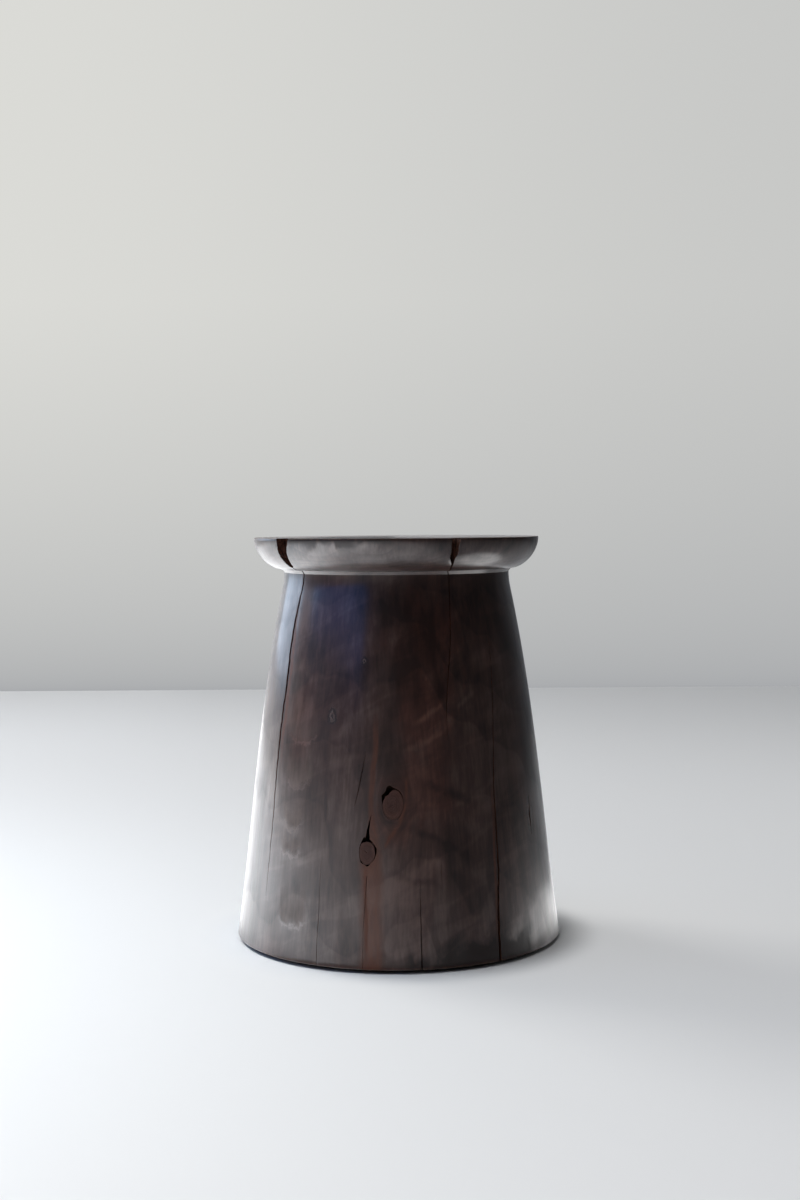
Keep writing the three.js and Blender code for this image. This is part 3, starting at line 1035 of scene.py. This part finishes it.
def stainedWood():
    finish = newFinish("stained wood")
    place = finish.place()
    x, y, z = finish.split(place)
    radius = (x * x + y * y).at("SQRT")
    angle = x.at("ARCTAN2", -y)
    across = angle * radius
    shift, bulge, halo, ripples, soundAway = knotFlow(finish, angle, z)
    turnedX = x + y * shift / radius
    turnedY = y - x * shift / radius

    def layer(name, vector):
        return finish.cloud(vector, *layers[name])

    # growth rings, met at a slant by the tapering side
    swell = layer("swell", finish.joined(x, y, z * 0.45)) - 0.5
    scallop = layer("scallop", finish.joined(turnedX, turnedY, z * 0.5)) - 0.5
    offX = x - pith.x / mm
    offY = y - pith.y / mm
    fromPith = (offX * offX + offY * offY).at("SQRT") - wood["firstRing"]
    rings = fromPith + swell * wood["ringSwell"] + scallop * wood["scallop"] - bulge
    rings = rings / wood["ringWidth"]
    saw = rings.at("FRACT")
    late = saw ** 3 * saw.spread(0.93, 1, 1, 0)
    ringTone = layer("ringTone", finish.joined(rings.at("FLOOR") * 3.7, 0.5, 0.5))

    # end grain on the seat and the underside, with finer rings
    facing = finish.node("ShaderNodeNewGeometry", output="True Normal")
    upward = finish.split(facing)[2]
    endGrain = abs(upward).spread(0.4, 0.8)
    seat = upward.spread(0.4, 0.8)
    fineRings = fromPith + swell * wood["fineSwell"] + scallop * wood["fineScallop"]
    fineSaw = (fineRings / wood["fineRing"]).at("FRACT")
    fineRings = (fineSaw ** 2 * fineSaw.spread(0.86, 1, 1, 0) - 0.3) * endGrain

    # long streaks, cloudy figure, slanting wisps, fibres and pores
    grain = finish.joined(turnedX, turnedY, z * 0.05)
    streaks = layer("streaks", grain).spread(0.33, 0.67)
    lines = layer("lines", grain).spread(0.3, 0.7)
    fibres = layer("fibres", grain)
    patches = layer("patches", finish.joined(x, y, z * 0.6)).spread(0.3, 0.7)
    slanted = finish.joined(turnedX * 0.35, turnedY * 0.35, z - x * wood["wispSlant"])
    wisps = layer("wisps", slanted).spread(0.42, 0.72)
    pores = layer("pores", finish.joined(turnedX, turnedY, z * 0.12)).spread(0.56, 0.74)

    # marks on the unrolled side, worked into the figure round them
    loose = layer("loose", finish.joined(across, 0, z * 0.5)) - 0.5
    worked = patches * 0.5 + lines * 0.3 + 0.6

    def painted(marks):
        return laid(finish, across, z, loose, marks) * worked

    ragged = layer("ragged", finish.joined(across, 0, z * 0.6)) - 0.5
    fine = layer("fine", place)
    flamed, vein = flameFigure(finish, across, z, ragged)
    vein = vein * (fine * 0.9 + patches * 0.3)
    offCrack = across - longCrack["across"] - (z - longCrack["height"]) * longCrack["lean"]
    besideCrack = abs(offCrack).spread(*longCrack["glintBand"], 1, 0)
    # painted glints: pale specks beside the long crack and along the veins, lighter and glossier
    glintSpecks = fine.spread(0.6, 0.72) * (besideCrack * 0.5 + vein)
    glintSpecks = glintSpecks * z.spread(380, 420, 1, 0)
    figureAndPaintedLight = painted(figureAndLightStrokes) + vein * shares["vein"] + glintSpecks * shares["glintSpecks"]
    eyeTone = eyeFigure(finish, soundAway, (fine - 0.5) * 1.5 + ragged * 1.7)

    tone = streaks * shares["streaks"] + lines * shares["lines"] + patches * shares["patches"]
    tone = tone + wisps * shares["wisps"] + ringTone * shares["ringTone"]
    tone = tone + fibres * shares["fibres"] - 0.04
    tone = tone - late * shares["late"] * (1 - endGrain) - pores * shares["pores"]
    tone = tone - halo * shares["halo"] - ripples
    # the figure, with the painted shade, painted reflection and painted glints in it, goes into
    # the coat and the colour
    sheen = tone * 0.5 + figureAndPaintedLight + 0.36
    tone = tone + figureAndPaintedLight - fineRings * shares["fineRings"] + eyeTone
    colour = finish.ramp(tone, (0.1, wood["deep"]), (0.5, wood["middle"]), (1, wood["light"]))

    # warmer and cooler stretches, the red streak, brown patches, red lines and worn arrises
    warmth = layer("warmth", finish.joined(turnedX, turnedY, z * 0.25))
    warmth = warmth.spread(0.42, 0.62) * 0.4 + painted(warmPatches)
    warmth = warmth.spread(0, 1)
    colour = finish.mixed(warmth, colour, wood["warmTint"], "MULTIPLY")
    streak, redness = streakFigure(finish, across, z, lines)
    colour = finish.mixed(redness, colour, wood["red"])
    brown = (painted(brownPatches) + flamed).at("MINIMUM", 1)
    colour = finish.mixed(brown * (0.55 + lines * 0.3), colour, wood["brown"])
    reds = painted(redLines).at("MINIMUM", 1)
    colour = finish.mixed(reds * 0.75, colour, wood["red"])
    edge = wornEdges(finish, radius, z)
    colour = finish.mixed(edge * (lines * 0.5 + 0.1), colour, wood["worn"])

    relief = lines * 0.6 + fibres * 0.4 - pores * 0.1 + eyeTone * 3
    uneven = layer("uneven", finish.joined(x, y, z * 0.4))
    lathe = layer("lathe", finish.joined(radius * 0.4, 0, z))
    normal = finish.bumped(uneven, *reliefs["uneven"])
    normal = finish.bumped(lathe, *reliefs["lathe"], normal)
    normal = finish.bumped(relief, *reliefs["grain"], normal)
    rough = (lines * 0.5 + patches * 0.5 + late * 0.3).spread(0, 1, *wood["roughness"])
    coat = (sheen + eyeTone - streak * 0.3 - brown * 0.4 - reds).spread(0, 1, *wood["coat"])
    return finish.principled({
        "Base Color": colour,
        "Roughness": rough + seat * wood["seatRougher"],
        "IOR": 1.45,
        "Coat Weight": coat * (1 - seat * wood["coatLostOnSeat"]),
        "Coat Roughness": wood["coatRoughness"],
        "Coat IOR": wood["coatIor"],
        "Normal": normal,
    })


# dark dry wood in the pockets of the knots
pocket = {
    "dark": (0.001, 0.0008, 0.0006),
    "light": (0.022, 0.011, 0.007),
    "fibres": (0.8, 3, 0.6),
    "relief": 0.8 * mm,
    "roughness": 0.9,
}


def pocketWood():
    finish = newFinish("pocket wood")
    fibres = finish.cloud(finish.place(), *pocket["fibres"])
    return finish.principled({
        "Base Color": finish.mixed(fibres, pocket["dark"], pocket["light"]),
        "Roughness": pocket["roughness"],
        "Specular IOR Level": 0,
        "Normal": finish.bumped(fibres, pocket["relief"]),
    })


# torn fibres on the walls of the checks, drawn out up the log
tear = {
    "dark": (0.016, 0.006, 0.004),
    "light": (0.10, 0.038, 0.022),
    "fibres": (0.9, 4, 0.65),
    "drawnOut": 0.06,
    "relief": 0.6 * mm,
    "roughness": 0.8,
}


def tornWood():
    finish = newFinish("torn wood")
    x, y, z = finish.split(finish.place())
    fibres = finish.cloud(finish.joined(x, y, z * tear["drawnOut"]), *tear["fibres"])
    colour = finish.mixed(fibres.spread(0.3, 0.7), tear["dark"], tear["light"])
    return finish.principled({
        "Base Color": colour,
        "Roughness": tear["roughness"],
        "Specular IOR Level": 0.2,
        "Normal": finish.bumped(fibres, tear["relief"]),
    })


# end grain of a branch: its own rings, and dark specks across them
branch = {
    "dark": (0.026, 0.010, 0.007),
    "middle": (0.066, 0.026, 0.018),
    "light": (0.105, 0.056, 0.043),
    "rings": 6,
    "ripple": (0.25, 3, 0.55),
    "speckle": (1.6, 3, 0.6),
    "relief": (0.12 * mm, 0.7),
    "roughness": 0.5,
    "coatRoughness": 0.2,
}


def knotWood(name, knot):
    finish = newFinish(name)
    place = finish.place()
    x, y, z = finish.split(place)
    away = fromKnot(knot, x.at("ARCTAN2", -y), z)[2]
    ripple = finish.cloud(place, *branch["ripple"]) - 0.5
    saw = (away * branch["rings"] + ripple * 1.6).at("FRACT")
    speckle = finish.cloud(place, *branch["speckle"])
    tone = saw * 0.3 + speckle.spread(0.3, 0.7) * 0.3
    tone = tone + away.spread(0.5, 0.85, 0, 0.2) - away.spread(0.9, 1, 0, 0.3)
    stops = [(0, branch["dark"]), (0.5, branch["middle"]), (1, branch["light"])]
    return finish.principled({
        "Base Color": finish.ramp(tone, *stops),
        "Roughness": branch["roughness"],
        "Specular IOR Level": 0.3,
        "Coat Weight": tone.spread(0.2, 0.9, 0, 0.25),
        "Coat Roughness": branch["coatRoughness"],
        "Normal": finish.bumped(saw + speckle, *branch["relief"]),
    })


woodFinish = stainedWood()
tornFinish = tornWood()
pocketFinish = pocketWood()
print("finishes made")


# glides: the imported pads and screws, and the holes that the screws go up into
glideNames = [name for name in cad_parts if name.startswith("glide_") and "screw" not in name]
screwNames = [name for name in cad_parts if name.startswith("glide_screw")]
pilot = {
    "screwRadius": 0.00175,
    "clearance": 0.0003,
    "tip": 0.004,
    "below": 0.001,
    "columns": 20,
}


def pilotHole(screwName):
    low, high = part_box(screwName)
    radius = pilot["screwRadius"] + pilot["clearance"]
    bottom = baseZ - pilot["below"]
    top = high.z + pilot["clearance"]
    shape = spun([
        Vector((0, bottom)),
        Vector((radius, bottom)),
        Vector((radius, high.z - pilot["tip"])),
        Vector((pilot["clearance"], top)),
        Vector((0, top)),
    ], pilot["columns"])
    middle = (low + high) / 2
    bmesh.ops.translate(shape, verts=shape.verts, vec=(middle.x, middle.y, 0))
    for face in shape.faces:
        face.material_index = 2
    return finished(shape, screwName + "_hole", [], smoothAngle=None)


# black nylon, scuffed on its sole
pad = {
    "dark": (0.010, 0.009, 0.008),
    "light": (0.016, 0.014, 0.013),
    "scuffed": (0.05, 0.047, 0.044),
    "grain": (3.5, 2, 0.5),
    "scuffs": (0.9, 3, 0.6),
    "relief": 0.04 * mm,
    "roughness": 0.45,
    "scuffedRougher": 0.3,
}


def nylon():
    finish = newFinish("nylon")
    place = finish.place()
    x, y, z = finish.split(place)
    grain = finish.cloud(place, *pad["grain"])
    scuffs = finish.cloud(finish.joined(x, y * 0.15, z), *pad["scuffs"]).spread(0.55, 0.75)
    scuffs = scuffs * z.spread(0.1, 0.6, 1, 0)
    colour = finish.mixed(grain, pad["dark"], pad["light"])
    return finish.principled({
        "Base Color": finish.mixed(scuffs, colour, pad["scuffed"]),
        "Roughness": scuffs * pad["scuffedRougher"] + pad["roughness"],
        "Normal": finish.bumped(grain - scuffs, pad["relief"]),
    })


# zinc plate with a faint spangle
plating = {
    "dark": (0.50, 0.51, 0.52),
    "light": (0.66, 0.67, 0.69),
    "spangle": (0.9, 2, 0.5),
    "grit": (4, 2, 0.5),
    "relief": 0.02 * mm,
    "roughness": (0.3, 0.42),
}


def zinc():
    finish = newFinish("zinc")
    place = finish.place()
    spangle = finish.cloud(place, *plating["spangle"])
    return finish.principled({
        "Base Color": finish.mixed(spangle, plating["dark"], plating["light"]),
        "Metallic": 1.0,
        "Roughness": spangle.spread(0.3, 0.7, *plating["roughness"]),
        "Normal": finish.bumped(finish.cloud(place, *plating["grit"]), plating["relief"]),
    })


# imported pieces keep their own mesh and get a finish
def dress(names, material):
    for name in names:
        for place in bpy.data.objects[name].material_slots:
            place.material = material


dress(glideNames, nylon())
dress(screwNames, zinc())
print("glides dressed")


def makeBody():
    shape = spun(turnedProfile(), turning["columns"])
    end = turning["flatEnds"]
    for vert in shape.verts:
        radius = vert.co.xy.length
        if radius < turning["wavyFrom"] or vert.co.z > topZ - end or vert.co.z < baseZ + end:
            continue
        inward = skinDip(vert.co) / radius
        vert.co.x -= vert.co.x * inward
        vert.co.y -= vert.co.y * inward
    finishes = [woodFinish, tornFinish, pocketFinish]
    body = finished(shape, "turned_body", finishes, smoothAngle=None)
    for number, (name, check) in enumerate(checks.items()):
        carved(body, checkCutter(name, check, number * splitting["seedStep"]))
    for name, knot in knots.items():
        carved(body, knotPocket(name, knot))
    for name in screwNames:
        carved(body, pilotHole(name))
    withoutSlivers(body)
    mesh = body.data
    mesh.shade_smooth()
    mesh.set_sharp_from_angle(angle=math.radians(turning["smoothBelow"]))
    return body


body = makeBody()
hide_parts("stool_body")
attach(body, "root")
print("body carved:", len(body.data.polygons), "faces")

for name, knot in knots.items():
    knotPlug(name, knot, knotWood(name + " wood", knot))
print("knots set")


# stage: a pale floor and a pale wall, which reflections see brightest on the left. Lengths of
# its paint are in millimetres, and a glow's strength is 1 where a reflection sees white
stageSettings = {
    "wallDistance": 2.63,
    "halfSize": 6.0,
    "roughness": 0.6,
    "floorColour": (0.64, 0.65, 0.66),
    "floorPale": (0.86, 0.87, 0.88),
    "floorFarShade": (0.60, 0.61, 0.62),
    "floorFade": (300, 2600),
    "floorShare": 0.5,
    "floorGlow": {"left": 1.4, "back": 1.15, "front": 0.3, "right": 1.45},
    "leftFrom": (-450, -230),
    "middleUpTo": (200, 400),
    "frontToBack": (-100, 100),
    "rightPatch": (390, 40, 290),
    "patchClearOf": (225, 290),
    "footShade": (168, 230),
    "wallColour": (0.5, 0.5, 0.5),
    "wallLow": (0.385, 0.395, 0.41),
    "wallHigh": (0.71, 0.71, 0.68),
    "wallTop": 1040,
    "wallAcross": (-1300, 1300),
    "wallRightShade": 0.58,
    "wallGlow": 0.5,
    "wallGlowUpTo": (-700, -500),
    "seatGlow": 1.1,
    "seatGlowAcross": (350, 500),
    "seatGlowFrom": (380, 460),
    "seatGlowUpTo": (700, 900),
}


# paint under the lamps, a glow added for reflections alone, and a share of a pale tone for the
# camera alone, which floor and wall grade with painted shade
def stagePaint(finish, settings, colour, pale, share, glow):
    inputs = {"Base Color": colour, "Roughness": settings["roughness"]}
    paint = finish.node("ShaderNodeBsdfPrincipled", None, inputs)
    inGloss = finish.node("ShaderNodeLightPath", output="Is Glossy Ray")
    added = finish.node("ShaderNodeEmission", None, {"Strength": glow * inGloss})
    paint = finish.node("ShaderNodeAddShader", None, {0: paint, 1: added})
    even = finish.node("ShaderNodeEmission", None, {"Color": pale})
    seen = finish.node("ShaderNodeLightPath", output="Is Camera Ray")
    inputs = {0: seen * share, 1: paint, 2: even}
    return finish.surface(finish.node("ShaderNodeMixShader", None, inputs))


def floorPaint(settings):
    finish = newFinish("floor paint")
    x, y, z = finish.split(finish.place())
    levels = settings["floorGlow"]
    fromStool = (x * x + y * y).at("SQRT")
    middle = y.spread(*settings["frontToBack"], levels["front"], levels["back"])
    middle = x.spread(*settings["middleUpTo"], 1, 0) * middle
    patchX, patchY, patchRadius = settings["rightPatch"]
    fromPatch = ((x - patchX) ** 2 + (y - patchY) ** 2).at("SQRT")
    right = fromPatch.spread(patchRadius * 0.5, patchRadius, levels["right"], 0)
    right = right * fromStool.spread(*settings["patchClearOf"])
    left = x.spread(*settings["leftFrom"], 1, 0)
    # under the stool nothing is added, so that the gap at its foot stays dark
    clear = fromStool.spread(*settings["footShade"])
    glow = (left * levels["left"] + (1 - left) * middle.at("MAXIMUM", right)) * clear
    # painted shade: the camera sees the floor darker towards the back
    far = y.spread(*settings["floorFade"])
    pale = finish.mixed(far, settings["floorPale"], settings["floorFarShade"])
    share = clear * settings["floorShare"]
    return stagePaint(finish, settings, settings["floorColour"], pale, share, glow)


def wallPaint(settings):
    finish = newFinish("wall paint")
    x, y, z = finish.split(finish.place())
    # painted shade: the camera sees the wall darker towards the floor and towards the right
    level = (z / settings["wallTop"]).at("MAXIMUM", 0).at("MINIMUM", 1).at("SQRT")
    level = level * x.spread(*settings["wallAcross"], 1, settings["wallRightShade"])
    pale = finish.mixed(level, settings["wallLow"], settings["wallHigh"])
    glow = x.spread(*settings["wallGlowUpTo"], settings["wallGlow"], 0)
    # the seat mirrors the wall behind it as a thin bright line
    behind = abs(x).spread(*settings["seatGlowAcross"], settings["seatGlow"], 0)
    behind = behind * z.spread(*settings["seatGlowFrom"])
    glow = glow + behind * z.spread(*settings["seatGlowUpTo"], 1, 0)
    return stagePaint(finish, settings, settings["wallColour"], pale, 1, glow)


def makeStage(settings):
    half = settings["halfSize"]
    shape = bmesh.new()
    bmesh.ops.create_grid(shape, size=half)
    floor = finished(shape, "floor", [floorPaint(settings)])
    upright = Matrix.Translation((0, settings["wallDistance"], half))
    upright @= Matrix.Rotation(math.pi / 2, 4, "X")
    shape = bmesh.new()
    bmesh.ops.create_grid(shape, size=half, matrix=upright)
    wall = finished(shape, "wall", [wallPaint(settings)])


makeStage(stageSettings)

# lamps: name: place, target, size, power, colour, spread
lamps = {
    "key": ((-2.04, 1.38, 1.0), (0, 0, 0.3), (1.7, 1.3), 15, (0.6, 0.77, 1), 180),
    "sky": ((-2.48, 0.3, 1.5), (0, 0, 0.3), (1.25, 1.0), 8, (0.42, 0.64, 1), 180),
    "high": ((-2.0, 1.5, 2.2), (0, 0, 0.2), (1.2, 1.2), 78, (1, 0.96, 0.90), 180),
    "left": ((-1.2, -0.2, 2.2), (-1.2, -0.2, 0), (0.9, 0.9), 14, (0.86, 0.94, 1), 60),
    "top": ((0, 0.2, 3.0), (0, 0, 0), (2, 2), 6, (0.9, 0.95, 1), 180),
    "front": ((-0.3, -1.3, 2.4), (-0.4, -1.0, 0), (0.9, 0.9), 5, (1, 0.98, 0.95), 60),
    "window": ((-2.2, -1.27, 1.45), (0, 0, 0.3), (3.0, 1.2), 6.8, (0.12, 0.33, 1), 180),
}


def makeLamp(name, place, target, size, power, colour, spread):
    data = bpy.data.lights.new(name, "AREA")
    data.shape = "RECTANGLE"
    data.size, data.size_y = size
    data.energy = power
    data.color = colour
    data.spread = math.radians(spread)
    lamp = bpy.data.objects.new(name, data)
    lamp.location = place
    lamp.rotation_euler = (Vector(target) - Vector(place)).to_track_quat("-Z", "Y").to_euler()
    bpy.context.scene.collection.objects.link(lamp)


for name, values in lamps.items():
    makeLamp(name, *values)

# air: what the room adds to the stool, and the pale tone that the camera sees past the stage
air = {
    "colour": (0.9, 0.95, 1),
    "onStool": 0.035,
    "seen": 0.62,
}


def makeAir(settings):
    finish = Finish(bpy.data.worlds.new("studio"), "ShaderNodeOutputWorld")
    seen = finish.node("ShaderNodeLightPath", output="Is Camera Ray")
    strength = seen.spread(0, 1, settings["onStool"], settings["seen"])
    inputs = {"Color": settings["colour"], "Strength": strength}
    bpy.context.scene.world = finish.surface(finish.node("ShaderNodeBackground", None, inputs))


makeAir(air)
bpy.context.scene.view_settings.view_transform = "Standard"
print("stage and lamps set")
